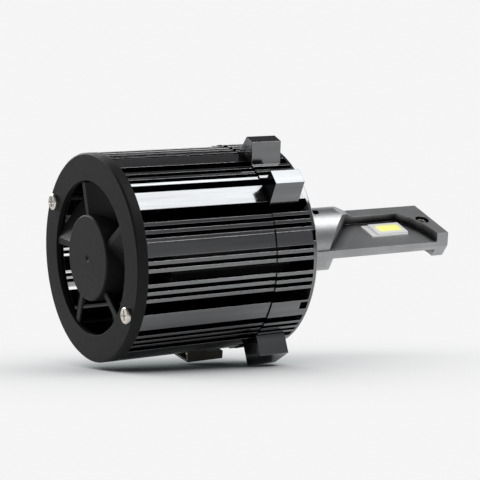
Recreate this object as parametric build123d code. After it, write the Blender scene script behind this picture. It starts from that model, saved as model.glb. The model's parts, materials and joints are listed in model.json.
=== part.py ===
from build123d import *
from math import cos, radians, sin
import os

os.makedirs("parts", exist_ok=True)

# Frame: +X runs along the lamp axis to the lamp tip, +Z is up, origin on the axis at the collar face.
# Axial stations are written from the cover face (x = 0) and moved to the frame by x_seat.
# Angles "phi" turn about +X from +Z towards -Y.

r_body = 22.5            # heatsink radius over the fins
r_core = 16.8            # radius at the bottom of the slots
x_cover = 2.4            # cover ring thickness
t_cover_lip = 1.1        # the ring thins to a lip round its opening
r_cover_hole = 16.6
x_bulkhead = 10.9        # rear face of the wall between the fan bay and the driver bay
t_bulkhead = 2.5
r_fan_bay = 18.0
r_driver_bay = 13.4
x_joint = 33.3           # heatsink meets the bayonet collar
x_seat = 43.65           # front face of the collar
r_collar = 22.85
r_lug = 27.3
x_lug_end = 40.5

fin_axis = 93.05         # the fin pattern mirrors about this angle and repeats half a turn away
fin_w = 0.75
thin_fins = (0, 4.1, 12.0, 16.3, 20.55, 44.65, 49.05, 53.45, 71.5, 75.9, 80.3, 86.9)
pillars = ((34.05, 10.6), (63.8, 9.5))   # angle from the fin axis and angular width
side_rib = (-7.95, 6.0)                  # the one rib that is not mirrored

r_neck = 7.3
r_stem = 5.45
r_pipe = 2.5
x_pipe_end = 54.6
x_sleeve_end = 50.0
x_head = 50.1
x_neck_screw = 56.0
x_ramp = (61.9, 70.0)    # the neck falls to the top land between these stations
x_tip_screw = 88.1
x_tip = 91.2
head_phi = 27.7          # turn of the emitter plane about the axis
h_flat = 3.05            # height of the top land above the head's mid plane
h_floor = 1.0            # height of the emitter pocket floor
w_ridge = 8.0            # half width of the head at its mid plane
w_land = 7.1             # half width of the head at the top land
x_emitter = (72.0, 82.35)
y_emitter = -0.5

r_hub = 9.25
r_blade = 16.2
x_blades = (0.3, 8.4)
fan_turn = 28.0          # rest angle of the fan
fan_blades = 5
x_fan_base = 9.6

cover_screw_phi = (125.6, 307.9)
r_cover_screws = 20.1
collar_screw_phi = (93.05, 213.05, 333.05)
r_collar_screws = 15.1
base_screw_phi = (55, 235)
r_base_screws = 7.6
inlet_phi = 193.5
x_inlet = 24.0           # mouth of the inlet
r_inlet = 25.2           # outer face of the inlet


def turn(shape, phi):
    return Rot(phi, 0, 0) * shape


def disc(r, x0, x1, y=0.0, z=0.0):
    return Pos((x0 + x1) / 2, y, z) * Rot(0, 90, 0) * Cylinder(r, x1 - x0)


def tube(r_out, r_in, x0, x1):
    return disc(r_out, x0, x1) - disc(r_in, x0 - 1, x1 + 1)


def block(x0, x1, y0, y1, z0, z1):
    return Pos((x0 + x1) / 2, (y0 + y1) / 2, (z0 + z1) / 2) * Box(x1 - x0, y1 - y0, z1 - z0)


def polar(r, phi):
    return (-r * sin(radians(phi)), r * cos(radians(phi)))


def outline(points):
    return make_face(Polyline(*points, close=True).edges())


def prism_x(points, x0, x1):
    face = Plane((x0, 0, 0), x_dir=(0, 1, 0), z_dir=(1, 0, 0)) * outline(points)
    return extrude(face, x1 - x0, dir=(1, 0, 0))


def prism_h(points, h0, h1):
    return extrude(Pos(0, 0, h0) * outline(points), h1 - h0, dir=(0, 0, 1))


def prism_t(points, half_width):
    face = Plane((0, half_width, 0), x_dir=(1, 0, 0), z_dir=(0, -1, 0)) * outline(points)
    return extrude(face, 2 * half_width, dir=(0, -1, 0))


def fin_star(r, x0, x1):
    def bar(half, phi):
        return turn(block(x0, x1, -half, half, r_core - 1, r + 2), phi)

    def rib_half(width):
        return (r - 0.2) * sin(radians(width / 2))

    shape = disc(r_core, x0, x1)
    for axis in (fin_axis, fin_axis + 180):
        shape += bar(rib_half(side_rib[1]), axis + side_rib[0])
        for side in (1, -1):
            for off in thin_fins:
                shape += bar(fin_w / 2, axis + side * off)
            for off, width in pillars:
                shape += bar(rib_half(width), axis + side * off)
    return shape & disc(r, x0, x1)


def pan_screw(r_head, h_head, r_shank, length, recess):
    """Screw along +X with its head at negative X and the seat under the head at x = 0."""
    screw = disc(r_head, -h_head, 0)
    screw = fillet(screw.edges().group_by(Axis.X)[0], h_head * 0.45)
    screw += disc(r_shank, -0.1, length)
    for a in (0, 90):
        screw -= turn(block(-h_head - 1, -h_head + recess, -r_head * 0.62, r_head * 0.62, -0.22, 0.22), a)
    return screw


parts = {}

# Fan cover ring
cover = tube(r_body, r_cover_hole, 0, x_cover) - disc(r_fan_bay, t_cover_lip, x_cover + 1)
cover_rims = cover.edges().filter_by(GeomType.CIRCLE).group_by(Axis.X)[0]
cover = chamfer(cover_rims.sort_by(SortBy.RADIUS)[-1:], 0.35)
for phi in cover_screw_phi:
    y, z = polar(r_cover_screws, phi)
    cover -= disc(0.95, -1, x_cover + 1, y, z)
parts["fan_cover"] = cover

# Finned heatsink with a fan bay behind and a driver bay in front
heatsink = fin_star(r_body, x_cover, x_joint)
pad = prism_x([polar(r, phi) for r, phi in ((16, 184), (24, 184), (24, 203), (16, 203))], 20.5, 30.5)
heatsink += pad & disc(r_body, 20, 31)
heatsink -= disc(r_fan_bay, x_cover - 1, x_bulkhead)
heatsink -= disc(r_driver_bay, x_bulkhead + t_bulkhead, x_joint + 1)
heatsink -= disc(2.0, x_bulkhead - 1, x_bulkhead + t_bulkhead + 1, 12.0, 0)
for phi in cover_screw_phi:
    y, z = polar(r_cover_screws, phi)
    heatsink -= disc(0.8, x_cover - 1, x_cover + 6.5, y, z)
for phi in collar_screw_phi:
    y, z = polar(r_collar_screws, phi)
    heatsink -= disc(0.8, x_joint - 6.5, x_joint + 1, y, z)
for phi in base_screw_phi:
    y, z = polar(r_base_screws, phi)
    heatsink -= disc(0.6, x_bulkhead - 1, x_bulkhead + 2.0, y, z)
heatsink -= turn(block(x_inlet + 0.4, x_inlet + 4.4, -2.2, 2.2, 12, 24), inlet_phi)
parts["heatsink"] = heatsink

# Bayonet collar: front fin ring, lugs, closing face and neck sleeve
collar = fin_star(r_collar, x_joint, x_seat - 1.0)
collar += Pos((39.9 + 42.6) / 2, 0, 0) * Rot(0, 90, 0) * Cone(r_core, r_collar, 2.7)
collar += disc(r_collar, 42.5, x_seat - 0.5)
collar += Pos(x_seat - 0.25, 0, 0) * Rot(0, 90, 0) * Cone(r_collar, r_collar - 0.5, 0.5)
lug_shapes = (
    ((20, 23.5), (22.6, 23.6), (27.2, 28.0), (r_lug, 33.8), (22.4, 39.3), (19, 39.3)),
    ((20, 54.0), (22.5, 54.0), (27.2, 53.2), (r_lug, 60.3), (21.3, 68.2), (18, 68.2)),
    ((20, 148.2), (22.5, 148.2), (27.2, 150.9), (r_lug, 164.3), (22.5, 164.2), (20, 164.2)),
    ((20, 262.0), (22.5, 262.0), (27.2, 263.0), (r_lug, 271.0), (22.5, 272.0), (20, 272.0)),
)
for lug in lug_shapes:
    collar += prism_x([polar(r, phi) for r, phi in lug], x_joint, x_lug_end)
collar += disc(r_neck, x_seat - 1, x_sleeve_end)
collar += disc(r_driver_bay - 0.05, x_joint - 3.0, x_joint + 1)
collar -= disc(r_driver_bay - 1.6, x_joint - 4, x_seat - 4.0)
collar -= disc(r_stem + 0.05, x_joint, x_sleeve_end + 1)
collar -= tube(r_driver_bay + 1, r_driver_bay - 0.75, x_joint - 2.1, x_joint - 1.1)
for phi, x0, x1, w in ((85.1, 42.35, 43.25, 2.3), (125.5, 40.7, 42.6, 1.9),
                       (265.1, 42.35, 43.25, 2.3), (305.5, 40.7, 42.6, 1.9)):
    collar -= turn(block(x0, x1, -w / 2, w / 2, r_collar - 1.2, r_collar + 2), phi)
for phi in collar_screw_phi:
    y, z = polar(r_collar_screws, phi)
    collar -= disc(1.1, x_joint - 1, x_seat + 1, y, z)
    collar -= disc(2.0, x_seat - 1.6, x_seat + 1, y, z)
parts["bayonet_collar"] = collar

parts["collar_seal"] = tube(r_driver_bay, r_driver_bay - 0.75, x_joint - 2.1, x_joint - 1.1)
for i, phi in enumerate(collar_screw_phi, 1):
    y, z = polar(r_collar_screws, phi)
    screw = Pos(x_seat - 1.6, y, z) * Rot(0, 0, 180) * pan_screw(1.8, 1.2, 0.01, 0.0, 0.6)
    screw += disc(0.8, x_joint - 6.0, x_seat - 1.5, y, z)
    parts[f"collar_screw_{i}"] = screw
for i, phi in enumerate(cover_screw_phi, 1):
    y, z = polar(r_cover_screws, phi)
    parts[f"cover_screw_{i}"] = Pos(0, y, z) * pan_screw(1.8, 0.85, 0.8, 8.0, 0.5)

# Fan
base = disc(9.3, x_fan_base, x_bulkhead) + disc(2.2, 2.6, x_fan_base + 0.1)
base -= disc(1.7, 2.0, x_fan_base + 0.6)
board = tube(7.0, 2.3, 8.5, 9.1)
for i, phi in enumerate(base_screw_phi, 1):
    y, z = polar(r_base_screws, phi)
    base -= disc(0.75, x_fan_base - 1, x_bulkhead + 1, y, z)
    board -= disc(1.5, 8, 10, y, z)
    parts[f"fan_base_screw_{i}"] = Pos(x_fan_base, y, z) * pan_screw(1.2, 0.6, 0.6, 3.2, 0.3)
parts["fan_base"] = base
parts["fan_circuit_board"] = board
parts["fan_bearing"] = tube(1.7, 1.05, 2.8, x_fan_base + 0.2)
stator = tube(3.4, 2.2, 3.6, 6.6)
coils = []
for k in range(4):
    stator += turn(block(4.0, 6.2, -0.75, 0.75, 3.0, 5.7), 45 + 90 * k)
    shoe = prism_x([polar(r, phi) for r, phi in ((5.2, -30), (7.2, -30), (7.2, 30), (5.2, 30))], 3.8, 6.4)
    stator += turn(shoe, 45 + 90 * k) & tube(6.4, 5.6, 3.8, 6.4)
    coil = block(3.3, 6.9, -1.5, 1.5, 3.45, 5.3) - block(4.0, 6.2, -0.75, 0.75, 3.0, 6.0)
    coils.append(turn(coil, 45 + 90 * k) - disc(3.42, 3, 7))
parts["fan_stator"] = stator
for k, coil in enumerate(coils, 1):
    parts[f"fan_coil_{k}"] = coil

hub = disc(r_hub, -0.5, 7.2) - disc(8.35, 0.7, 8.0)
hub = fillet(hub.edges().filter_by(GeomType.CIRCLE).group_by(Axis.X)[0], 0.4)
x_mid = (x_blades[0] + x_blades[1]) / 2
envelope = tube(r_blade, r_hub - 0.5, *x_blades)
for k in range(fan_blades):
    root = Plane((x_mid, 0, 8.0), x_dir=(0, 1, 0), z_dir=(0, 0, 1)) * Rot(0, 0, 41) * Rectangle(13.0, 1.3)
    end = Plane((x_mid, 0, 18.0), x_dir=(0, 1, 0), z_dir=(0, 0, 1)) * Rot(0, 0, 18) * Rectangle(27.0, 0.9)
    blade = turn(loft(Sketch() + [root, end]), fan_turn + 360 / fan_blades * k) & envelope
    hub = hub.fuse(*blade.solids())
hub -= disc(1.0, 0.1, 1.0)
hub -= Pos(-0.35, 0, 0) * Rot(0, 90, 0) * Cone(0.8, 0.3, 0.3)
parts["fan_rotor"] = hub
parts["fan_yoke"] = tube(8.35, 7.9, 0.7, 7.0)
parts["fan_magnet"] = tube(7.9, 6.85, 2.2, 6.8)
parts["fan_shaft"] = disc(1.0, 0.1, 9.2)

# Driver electronics inside the heatsink
x_bay = x_bulkhead + t_bulkhead
tray = tube(r_driver_bay - 0.1, r_driver_bay - 0.7, x_bay, x_joint - 3.2)
tray += disc(r_driver_bay - 0.1, x_bay, x_bay + 0.8)
tray -= disc(2.0, x_bay - 1, x_bay + 2, 12.0, 0)
tray -= turn(block(x_inlet + 0.2, x_inlet + 4.6, -2.4, 2.4, 12, 24), inlet_phi)
parts["driver_tray"] = tray
parts["driver_board"] = block(x_bay + 1.0, 29.5, -12.0, 12.0, -0.6, 0.6) & disc(12.4, 10, 32)
parts["driver_inductor"] = block(16.0, 22.0, -3.5, 3.5, 0.6, 5.4)
parts["driver_capacitor_1"] = Pos(26.0, 4.0, 3.6) * Cylinder(2.5, 6.0)
parts["driver_capacitor_2"] = Pos(26.0, -4.0, 3.6) * Cylinder(2.5, 6.0)
parts["driver_controller"] = block(17.0, 22.0, -2.5, 2.5, -2.1, -0.6)
parts["driver_transistor"] = block(24.0, 28.5, -3.2, 3.2, -2.9, -0.6)

# Power inlet under the heatsink
inlet = block(x_inlet, x_inlet + 4.8, -3.0, 3.0, r_body + 0.05, r_inlet)
inlet += block(x_inlet + 4.8, x_joint - 0.3, -3.0, 3.0, r_body + 0.9, r_inlet)
inlet += block(x_inlet + 0.5, x_inlet + 4.3, -2.1, 2.1, 13.6, r_body + 0.1)
inlet -= block(x_inlet - 1, x_inlet + 3.8, -2.4, 2.4, r_inlet - 2.35, r_inlet - 0.4)
for i, y in enumerate((-1.3, 1.3), 1):
    pin = block(x_inlet + 0.6, x_inlet + 4.4, y - 0.4, y + 0.4, r_inlet - 1.6, r_inlet - 1.2)
    inlet -= pin
    parts[f"inlet_pin_{i}"] = turn(pin, inlet_phi)
parts["power_inlet"] = turn(inlet, inlet_phi)

# Lamp head: two mirrored half shells round a heat pipe, with an emitter on each side
section = [(w_ridge, 0), (w_land, h_flat), (-w_land, h_flat),
           (-w_ridge, 0), (-w_land, -h_flat), (w_land, -h_flat)]
head = disc(r_neck, x_head, x_ramp[1]) + prism_x(section, x_head, x_tip)
head = chamfer(head.faces().sort_by(Axis.X)[-1].edges(), 0.35) + disc(r_stem, 35.6, x_head + 0.1)
ramp = prism_t([(x_ramp[0], r_neck), (x_ramp[1], h_flat), (95, h_flat), (95, 9), (x_ramp[0], 9)], 9)
pocket = prism_h([(55.7, -8.8), (68.3, 3.9), (83.0, 3.9), (85.3, 1.5), (87.0, -2.1), (87.7, -5.5),
                  (87.7, -8.8)], h_floor, r_neck + 1)
neck_edge = block(x_head - 1, x_ramp[0], -9, -6, h_floor, h_flat + 1) - disc(r_neck, x_head - 2, x_tip)
for cut in (ramp, pocket, neck_edge, mirror(neck_edge, about=Plane.XZ)):
    head -= cut
    head -= mirror(cut, about=Plane.XY)
seat = block(x_emitter[0] - 0.1, x_emitter[1] + 0.1, y_emitter - 2.75, y_emitter + 2.75,
             h_floor - 0.2, h_floor + 1)
head -= seat
head -= mirror(seat, about=Plane.XY)
head -= disc(r_pipe, 34, x_pipe_end)
head -= tube(r_stem + 1, r_stem - 0.6, 37.0, 37.8)
head -= Pos(x_tip_screw, 0, 0) * Cylinder(0.75, 20)
head -= Pos(x_tip_screw, 0, h_flat) * Cylinder(1.72, 2.4)
head -= Pos(x_neck_screw, 0, 0) * Cylinder(0.75, 8)
head -= Pos(x_neck_screw, 0, r_neck) * Cylinder(1.1, 2 * (r_neck - 4.0))
upper = head & block(30, 95, -10, 10, 0, 10)
lower = head & block(30, 95, -10, 10, -10, 0)
parts["head_shell_upper"] = turn(upper, head_phi)
parts["head_shell_lower"] = turn(lower, head_phi)
parts["heat_pipe"] = turn(disc(r_pipe, 34.6, x_pipe_end), head_phi)
clip = tube(r_stem + 1.0, r_stem - 0.6, 37.0, 37.8) - block(36, 39, -1.5, 1.5, 0, 8)
parts["stem_clip"] = turn(clip, head_phi)
tip = Pos(x_tip_screw, 0, h_flat - 1.2) * Rot(0, 90, 0) * pan_screw(1.35, 0.8, 0.75, 4.5, 0.45)
parts["tip_screw"] = turn(tip, head_phi)
clamp = Pos(x_neck_screw, 0, 4.0) * Rot(0, 90, 0) * pan_screw(1.0, 0.8, 0.75, 7.5, 0.45)
parts["neck_screw"] = turn(clamp, head_phi)
x0, x1 = x_emitter
strip = block(x0, x1, y_emitter - 2.65, y_emitter + 2.65, h_floor - 0.2, h_floor + 0.3)
package = block(x0 + 1.7, x1, y_emitter - 2.4, y_emitter + 2.4, h_floor + 0.3, h_floor + 0.72)
glow = block(x0 + 2.9, x1 - 1.15, y_emitter - 1.35, y_emitter + 1.35, h_floor + 0.72,
             h_floor + 0.8)
for node, shape in (("led_board", strip), ("led_package", package), ("led_phosphor", glow)):
    parts[f"{node}_upper"] = turn(shape, head_phi)
    parts[f"{node}_lower"] = turn(mirror(shape, about=Plane.XY), head_phi)

for node, shape in parts.items():
    export_step(Pos(-x_seat, 0, 0) * shape, f"parts/{node}.step")
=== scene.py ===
import json

import bpy
from mathutils import Matrix, Vector

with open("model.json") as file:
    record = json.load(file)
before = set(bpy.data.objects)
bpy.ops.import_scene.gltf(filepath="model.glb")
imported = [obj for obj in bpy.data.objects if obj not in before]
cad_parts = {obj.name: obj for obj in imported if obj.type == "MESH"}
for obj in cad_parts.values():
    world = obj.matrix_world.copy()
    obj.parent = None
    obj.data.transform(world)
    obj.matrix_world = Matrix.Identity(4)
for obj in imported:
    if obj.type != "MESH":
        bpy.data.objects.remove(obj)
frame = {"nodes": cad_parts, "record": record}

MM = 0.001

scene = bpy.context.scene
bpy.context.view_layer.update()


# ---------------------------------------------------------------- node helpers

NOISE_LOW, NOISE_HIGH = 0.3, 0.7        # nearly all of a noise texture lies between these
NOISE_ROUGHNESS = 0.55
BEVEL_SAMPLES = 6
# The edge colour, partly wear and partly a painted highlight, is full at the first cosine and gone at
# the second
EDGE_WORN_AND_LIT, EDGE_CLEAN = 0.86, 0.99      # cosine between the rounded normal and the flat one


class Tree:
    """Short names for building the nodes of one material or world."""

    def __init__(self, owner):
        owner.use_nodes = True
        self.nodes = owner.node_tree.nodes
        self.link = owner.node_tree.links.new
        self.coords = self.add("ShaderNodeTexCoord")

    def find(self, kind):
        return next(node for node in self.nodes if node.type == kind)

    def add(self, kind, **values):
        node = self.nodes.new(kind)
        for name, value in values.items():
            setattr(node, name, value)
        return node

    def noise(self, scale, detail, stretch=(1, 1, 1)):
        mapping = self.add("ShaderNodeMapping")
        mapping.inputs["Scale"].default_value = stretch
        self.link(self.coords.outputs["Object"], mapping.inputs["Vector"])
        node = self.add("ShaderNodeTexNoise")
        node.inputs["Scale"].default_value = scale
        node.inputs["Detail"].default_value = detail
        node.inputs["Roughness"].default_value = NOISE_ROUGHNESS
        self.link(mapping.outputs["Vector"], node.inputs["Vector"])
        return node.outputs["Fac"]

    def ramp(self, source, low, high, start=NOISE_LOW, end=NOISE_HIGH):
        """A colour that runs from low at start to high at end."""
        node = self.add("ShaderNodeValToRGB")
        for element, place, colour in zip(node.color_ramp.elements, (start, end), (low, high)):
            element.position = place
            element.color = (*colour, 1)
        self.link(source, node.inputs["Fac"])
        return node.outputs["Color"]

    def span(self, source, low, high, start=NOISE_LOW, end=NOISE_HIGH, curve="LINEAR"):
        """A value that runs from low at start to high at end."""
        node = self.add("ShaderNodeMapRange", interpolation_type=curve)
        node.inputs["From Min"].default_value = start
        node.inputs["From Max"].default_value = end
        node.inputs["To Min"].default_value = low
        node.inputs["To Max"].default_value = high
        self.link(source, node.inputs["Value"])
        return node.outputs["Result"]

    def math(self, operation, first, second):
        node = self.add("ShaderNodeMath", operation=operation)
        self.link(first, node.inputs[0])
        self.link(second, node.inputs[1])
        return node.outputs["Value"]

    def openness(self, distance, samples):
        """1 where nothing stands within the distance, falling to 0 in a narrow hollow."""
        node = self.add("ShaderNodeAmbientOcclusion", samples=samples)
        node.inputs["Distance"].default_value = distance
        return node.outputs["AO"]

    def rounded(self, radius):
        node = self.add("ShaderNodeBevel", samples=BEVEL_SAMPLES)
        node.inputs["Radius"].default_value = radius
        return node.outputs["Normal"]

    def edges(self, rounded):
        """How far the rounded normal turns from the flat one: 0 on a face, rising along an edge."""
        flat = self.add("ShaderNodeNewGeometry")
        dot = self.add("ShaderNodeVectorMath", operation="DOT_PRODUCT")
        self.link(rounded, dot.inputs[0])
        self.link(flat.outputs["True Normal"], dot.inputs[1])
        return self.span(dot.outputs["Value"], 1.0, 0.0, start=EDGE_WORN_AND_LIT, end=EDGE_CLEAN)

    def bump(self, source, distance, rounded):
        node = self.add("ShaderNodeBump")
        node.inputs["Distance"].default_value = distance
        self.link(source, node.inputs["Height"])
        if rounded:
            self.link(rounded, node.inputs["Normal"])
        return node.outputs["Normal"]

    def blend(self, amount, base, top):
        """The base colour, with the plain top colour over it by the amount."""
        node = self.add("ShaderNodeMix", data_type="RGBA")
        self.link(amount, node.inputs["Factor"])
        self.link(base, node.inputs["A"])
        node.inputs["B"].default_value = (*top, 1)
        return node.outputs["Result"]

    def mix_shaders(self, amount, first, second, output):
        node = self.add("ShaderNodeMixShader")
        self.link(amount, node.inputs["Fac"])
        self.link(first, node.inputs[1])
        self.link(second, node.inputs[2])
        self.link(node.outputs["Shader"], output.inputs["Surface"])


# ------------------------------------------------------------------- materials

CLOUD_DETAIL = 4.0
GRAIN_DETAIL = 2.0
CAVITY_SAMPLES = 8
CAVITY_DARK, CAVITY_CLEAR = 0.5, 0.88       # openness at which a hollow's painted shade is darkest, and where it ends


def grey(value, blue=0.0):
    return (value * (1 - blue), value, value * (1 + blue))


def surface(name, dark, light, rough, grain, depth, metallic=0.0, specular=0.5, cloud=60.0,
            stretch=(1, 1, 1), rounding=0.0, wear_and_highlight=None, hollow_shade=None, shade_reach=0.0,
            glow=None, glow_strength=0.0):
    """A material whose colour drifts from dark to light in clouds, with a fine grain in its gloss.

    Where they are given, it has edges rounded in the shading (rounding, mm), edges of another colour
    for wear and a painted highlight, painted shade of another colour in hollows (its reach in mm) and
    a faint painted glow. The depth of the grain is in mm. The sizes of the clouds and the grain are
    given per metre.
    """
    material = bpy.data.materials.new(name)
    tree = Tree(material)
    shader = tree.find("BSDF_PRINCIPLED")
    clouds = tree.noise(cloud, CLOUD_DETAIL, stretch)
    fine = tree.noise(grain, GRAIN_DETAIL, stretch)
    colour = tree.ramp(clouds, dark, light)
    # Painted shade: hollows darken towards this colour the more closed in they are
    if hollow_shade:
        open_sky = tree.openness(shade_reach * MM, CAVITY_SAMPLES)
        shaded = tree.span(open_sky, 1.0, 0.0, start=CAVITY_DARK, end=CAVITY_CLEAR)
        colour = tree.blend(shaded, colour, hollow_shade)
    rounded = tree.rounded(rounding * MM) if rounding else None
    # Edge colour: partly wear, partly a painted highlight
    if wear_and_highlight:
        colour = tree.blend(tree.edges(rounded), colour, wear_and_highlight)
    shader.inputs["Metallic"].default_value = metallic
    shader.inputs["Specular IOR Level"].default_value = specular
    tree.link(colour, shader.inputs["Base Color"])
    tree.link(tree.span(fine, *rough), shader.inputs["Roughness"])
    tree.link(tree.bump(fine, depth * MM, rounded), shader.inputs["Normal"])
    # A faint painted glow, where one is given
    if glow:
        shader.inputs["Emission Color"].default_value = (*glow, 1)
        shader.inputs["Emission Strength"].default_value = glow_strength
    return material


# Below, edge colours are partly wear and partly a painted highlight, hollow colours are painted shade,
# glows are painted light
LOOKS = {
    # What shows from outside
    "cover_plastic": dict(dark=grey(0.01, 0.02), light=grey(0.017, 0.03), rough=(0.45, 0.6),
                          grain=2600, depth=0.01, specular=0.1, rounding=0.2, wear_and_highlight=grey(0.03)),
    "fan_plastic": dict(dark=grey(0.011, 0.02), light=grey(0.017, 0.03), rough=(0.35, 0.5),
                        grain=1800, depth=0.006, specular=0.1, rounding=0.15, wear_and_highlight=grey(0.04)),
    "black_anodised": dict(dark=grey(0.165, 0.02), light=grey(0.235, 0.03), rough=(0.07, 0.17),
                           grain=900, depth=0.001, metallic=1.0, cloud=260, stretch=(0.08, 1, 1),
                           rounding=0.1, wear_and_highlight=grey(0.4), hollow_shade=grey(0.04), shade_reach=3),
    "head_anodised": dict(dark=grey(0.35, 0.01), light=grey(0.42, 0.02), rough=(0.36, 0.46),
                          grain=2200, depth=0.004, metallic=1.0, cloud=160,
                          rounding=0.1, wear_and_highlight=grey(0.42), hollow_shade=grey(0.015), shade_reach=4),
    "seal_rubber": dict(dark=grey(0.015), light=grey(0.03), rough=(0.6, 0.75),
                        grain=1500, depth=0.01),
    "steel_screw": dict(dark=(0.6, 0.56, 0.5), light=(0.75, 0.71, 0.66), rough=(0.16, 0.28),
                        grain=1500, depth=0.004, metallic=1.0, rounding=0.1),
    "dark_screw": dict(dark=grey(0.1), light=grey(0.16), rough=(0.25, 0.4),
                       grain=1500, depth=0.004, metallic=1.0, rounding=0.1),
    # Fan motor
    "bearing_brass": dict(dark=(0.5, 0.33, 0.12), light=(0.62, 0.44, 0.18), rough=(0.25, 0.4),
                          grain=1200, depth=0.004, metallic=1.0),
    "stator_steel": dict(dark=grey(0.38), light=grey(0.5), rough=(0.3, 0.45),
                         grain=1500, depth=0.005, metallic=1.0),
    "magnet": dict(dark=grey(0.04), light=grey(0.07), rough=(0.5, 0.7),
                   grain=1200, depth=0.01),
    "steel_shaft": dict(dark=grey(0.5), light=grey(0.6), rough=(0.15, 0.25),
                        grain=900, depth=0.002, metallic=1.0),
    "copper": dict(dark=(0.6, 0.25, 0.12), light=(0.72, 0.34, 0.18), rough=(0.25, 0.4),
                   grain=1200, depth=0.004, metallic=1.0),
    # Driver and power inlet
    "circuit_board": dict(dark=(0.01, 0.07, 0.03), light=(0.015, 0.11, 0.045), rough=(0.35, 0.5),
                          grain=900, depth=0.008),
    "capacitor_can": dict(dark=grey(0.5), light=grey(0.6), rough=(0.25, 0.35),
                          grain=900, depth=0.003, metallic=1.0),
    "chip_plastic": dict(dark=grey(0.02), light=grey(0.035), rough=(0.45, 0.6),
                         grain=2500, depth=0.008),
    "inlet_plastic": dict(dark=(0.045, 0.04, 0.03), light=(0.06, 0.052, 0.04), rough=(0.4, 0.55),
                          grain=2000, depth=0.01, rounding=0.2),
    "brass_pin": dict(dark=(0.55, 0.4, 0.18), light=(0.65, 0.48, 0.22), rough=(0.2, 0.3),
                      grain=1200, depth=0.003, metallic=1.0),
    # Emitters, not lit: a faint painted glow on the phosphor, and painted light on its white frame
    "led_white": dict(dark=grey(0.72), light=grey(0.8), rough=(0.35, 0.5),
                      grain=1800, depth=0.006, glow=(1, 1, 0.98), glow_strength=0.12),
    "led_ceramic": dict(dark=grey(0.74), light=grey(0.82), rough=(0.3, 0.45),
                        grain=1800, depth=0.004, glow=(1, 1, 0.98), glow_strength=0.18),
    "led_phosphor": dict(dark=(0.8, 0.8, 0.12), light=(0.95, 0.95, 0.2), rough=(0.4, 0.55),
                         grain=3000, depth=0.008, glow=(1, 1, 0.45), glow_strength=0.4),
}
MATERIALS = {name: surface(name, **look) for name, look in LOOKS.items()}

for part in frame["record"]["subparts"]:
    materials = frame["nodes"][part["node"]].data.materials
    materials.clear()
    materials.append(MATERIALS[part["material_slot"]])


# ---------------------------------------------------------------------- camera

CAMERA_PLACE = (-0.19618, -0.31847, 0.01443)        # behind the fan and to the side, just above the axis
CAMERA_RIGHT = Vector((0.85588, -0.51375, -0.05934))
CAMERA_UP = Vector((0.06917, 0.0, 0.99760))
CAMERA_LENS = 123.47
CAMERA_SENSOR = 36.0
CAMERA_CLIP = 0.01


def placed(place, right, up, back):
    return Matrix.Translation(place) @ Matrix((right, up, back)).transposed().to_4x4()


def make_camera():
    data = bpy.data.cameras.new("camera")
    data.lens = CAMERA_LENS
    data.sensor_width = CAMERA_SENSOR
    data.clip_start = CAMERA_CLIP
    camera = bpy.data.objects.new("camera", data)
    scene.collection.objects.link(camera)
    back = CAMERA_RIGHT.cross(CAMERA_UP).normalized()
    up = back.cross(CAMERA_RIGHT).normalized()
    camera.matrix_world = placed(CAMERA_PLACE, CAMERA_RIGHT.normalized(), up, back)
    scene.camera = camera


make_camera()


# ----------------------------------------------------------------------- floor

FLOOR_SLOPE_X = -0.0665         # the lamp stands on its lower lug, and the floor falls towards the tip
FLOOR_HEIGHT = -0.027           # under the origin
FLOOR_SIZE = 8.0
# The grey of the painted shadow, drifting in clouds
FLOOR_SHADE_DARK, FLOOR_SHADE_LIGHT = (0.3, 0.33, 0.335), (0.33, 0.36, 0.365)
FLOOR_CLOUD, FLOOR_CLOUD_DETAIL = 3.0, 3.0
FLOOR_ROUGHNESS = 0.6
BACKDROP = (0.915, 0.915, 0.92)
BOUNCE_FAR = (0.4, 0.4, 0.4)                    # what the lamp sees of the floor farther out
BOUNCE_START, BOUNCE_END = 0.1, 0.5
SHADOW_REACH = 0.09
SHADOW_SAMPLES = 32
SHADOW_DARK, SHADOW_CLEAR = 0.2, 0.98           # openness at which the shadow is full, and where it ends


def floor_material():
    """Painted shadow, grey where the lamp stands over it, else aglow like the backdrop, so no horizon.
    """
    material = bpy.data.materials.new("floor_white")
    tree = Tree(material)
    shader = tree.find("BSDF_PRINCIPLED")
    clouds = tree.noise(FLOOR_CLOUD, FLOOR_CLOUD_DETAIL)
    tree.link(tree.ramp(clouds, FLOOR_SHADE_DARK, FLOOR_SHADE_LIGHT), shader.inputs["Base Color"])
    shader.inputs["Roughness"].default_value = FLOOR_ROUGHNESS
    shader.inputs["Specular IOR Level"].default_value = 0.0

    out = tree.add("ShaderNodeVectorMath", operation="LENGTH")
    tree.link(tree.coords.outputs["Object"], out.inputs[0])
    bounce = tree.ramp(out.outputs["Value"], BACKDROP, BOUNCE_FAR, start=BOUNCE_START, end=BOUNCE_END)
    path = tree.add("ShaderNodeLightPath")
    glow = tree.add("ShaderNodeEmission")
    tree.link(tree.blend(path.outputs["Is Camera Ray"], bounce, BACKDROP), glow.inputs["Color"])

    # Painted shadow: where the lamp closes the floor in, the grey shader shows instead of the glow
    open_sky = tree.openness(SHADOW_REACH, SHADOW_SAMPLES)
    lit = tree.span(open_sky, 0.0, 1.0, start=SHADOW_DARK, end=SHADOW_CLEAR)
    tree.mix_shaders(lit, shader.outputs["BSDF"], glow.outputs["Emission"], tree.find("OUTPUT_MATERIAL"))
    return material


def make_floor():
    mesh = bpy.data.meshes.new("floor")
    half = FLOOR_SIZE / 2
    corners = [(x, y, FLOOR_HEIGHT + FLOOR_SLOPE_X * x)
               for x, y in ((-half, -half), (half, -half), (half, half), (-half, half))]
    mesh.from_pydata(corners, [], [(0, 1, 2, 3)])
    mesh.materials.append(floor_material())
    floor = bpy.data.objects.new("floor", mesh)
    scene.collection.objects.link(floor)


make_floor()


# ---------------------------------------------------------------------- lights

LIGHT_AIM = Vector((-0.015, 0.0, 0.0))      # on the axis, inside the body


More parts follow.
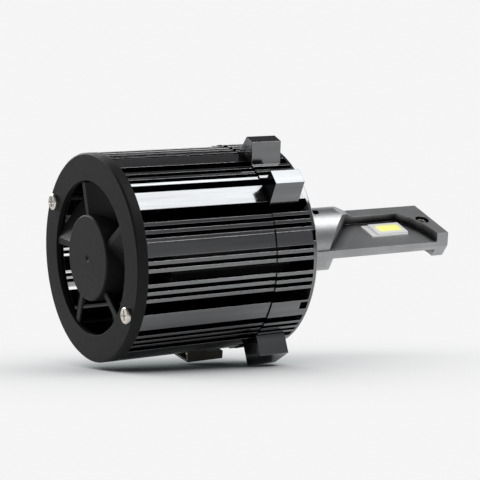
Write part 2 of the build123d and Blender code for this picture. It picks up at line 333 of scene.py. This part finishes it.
def softbox(name, place, width, height, power):
    data = bpy.data.lights.new(name, "AREA")
    data.shape = "RECTANGLE"
    data.size, data.size_y = width, height
    data.energy = power
    light = bpy.data.objects.new(name, data)
    back = (Vector(place) - LIGHT_AIM).normalized()
    side = (Vector((1, 0, 0)) - back * back.x).normalized()
    light.matrix_world = placed(place, side, back.cross(side), back)
    scene.collection.objects.link(light)


softbox("top_softbox", (0.34, -0.235, 0.55), width=0.42, height=0.42, power=2.45)
softbox("back_softbox", (-0.1, 0.95, 0.62), width=1.1, height=0.7, power=15.0)


# ----------------------------------------------------------------------- world

ROOM_DARK, ROOM_LIGHT = (0.13, 0.13, 0.135), (0.9, 0.9, 0.92)
FAR_WALL_START, FAR_WALL_END = 0.0, 0.35        # Y of the direction, away from the camera
FAR_WALL_TOP, FAR_WALL_FULL = 0.55, 0.3         # Z of the direction: the wall is lit only low down
NEAR_WALL_START, NEAR_WALL_END = -0.2, -0.9     # Y of the direction, on the camera's side
NEAR_WALL_LEVEL = 0.2


def make_world():
    """A dark room with a lit wall low on the far side and a dim one on the camera's side.

    The camera itself sees the plain backdrop.
    """
    world = bpy.data.worlds.new("studio")
    scene.world = world
    tree = Tree(world)
    room = tree.find("BACKGROUND")
    direction = tree.add("ShaderNodeSeparateXYZ")
    tree.link(tree.coords.outputs["Generated"], direction.inputs["Vector"])
    y, z = direction.outputs["Y"], direction.outputs["Z"]
    far = tree.span(y, 0.0, 1.0, start=FAR_WALL_START, end=FAR_WALL_END, curve="SMOOTHSTEP")
    low = tree.span(z, 0.0, 1.0, start=FAR_WALL_TOP, end=FAR_WALL_FULL, curve="SMOOTHSTEP")
    near = tree.span(y, 0.0, NEAR_WALL_LEVEL, start=NEAR_WALL_START, end=NEAR_WALL_END,
                     curve="SMOOTHSTEP")
    lit = tree.math("ADD", tree.math("MULTIPLY", far, low), near)
    tree.link(tree.ramp(lit, ROOM_DARK, ROOM_LIGHT, start=0.0, end=1.0), room.inputs["Color"])

    backdrop = tree.add("ShaderNodeBackground")
    backdrop.inputs["Color"].default_value = (*BACKDROP, 1)
    path = tree.add("ShaderNodeLightPath")
    tree.mix_shaders(path.outputs["Is Camera Ray"], room.outputs["Background"],
                     backdrop.outputs["Background"], tree.find("OUTPUT_WORLD"))


make_world()
scene.view_settings.view_transform = "Standard"
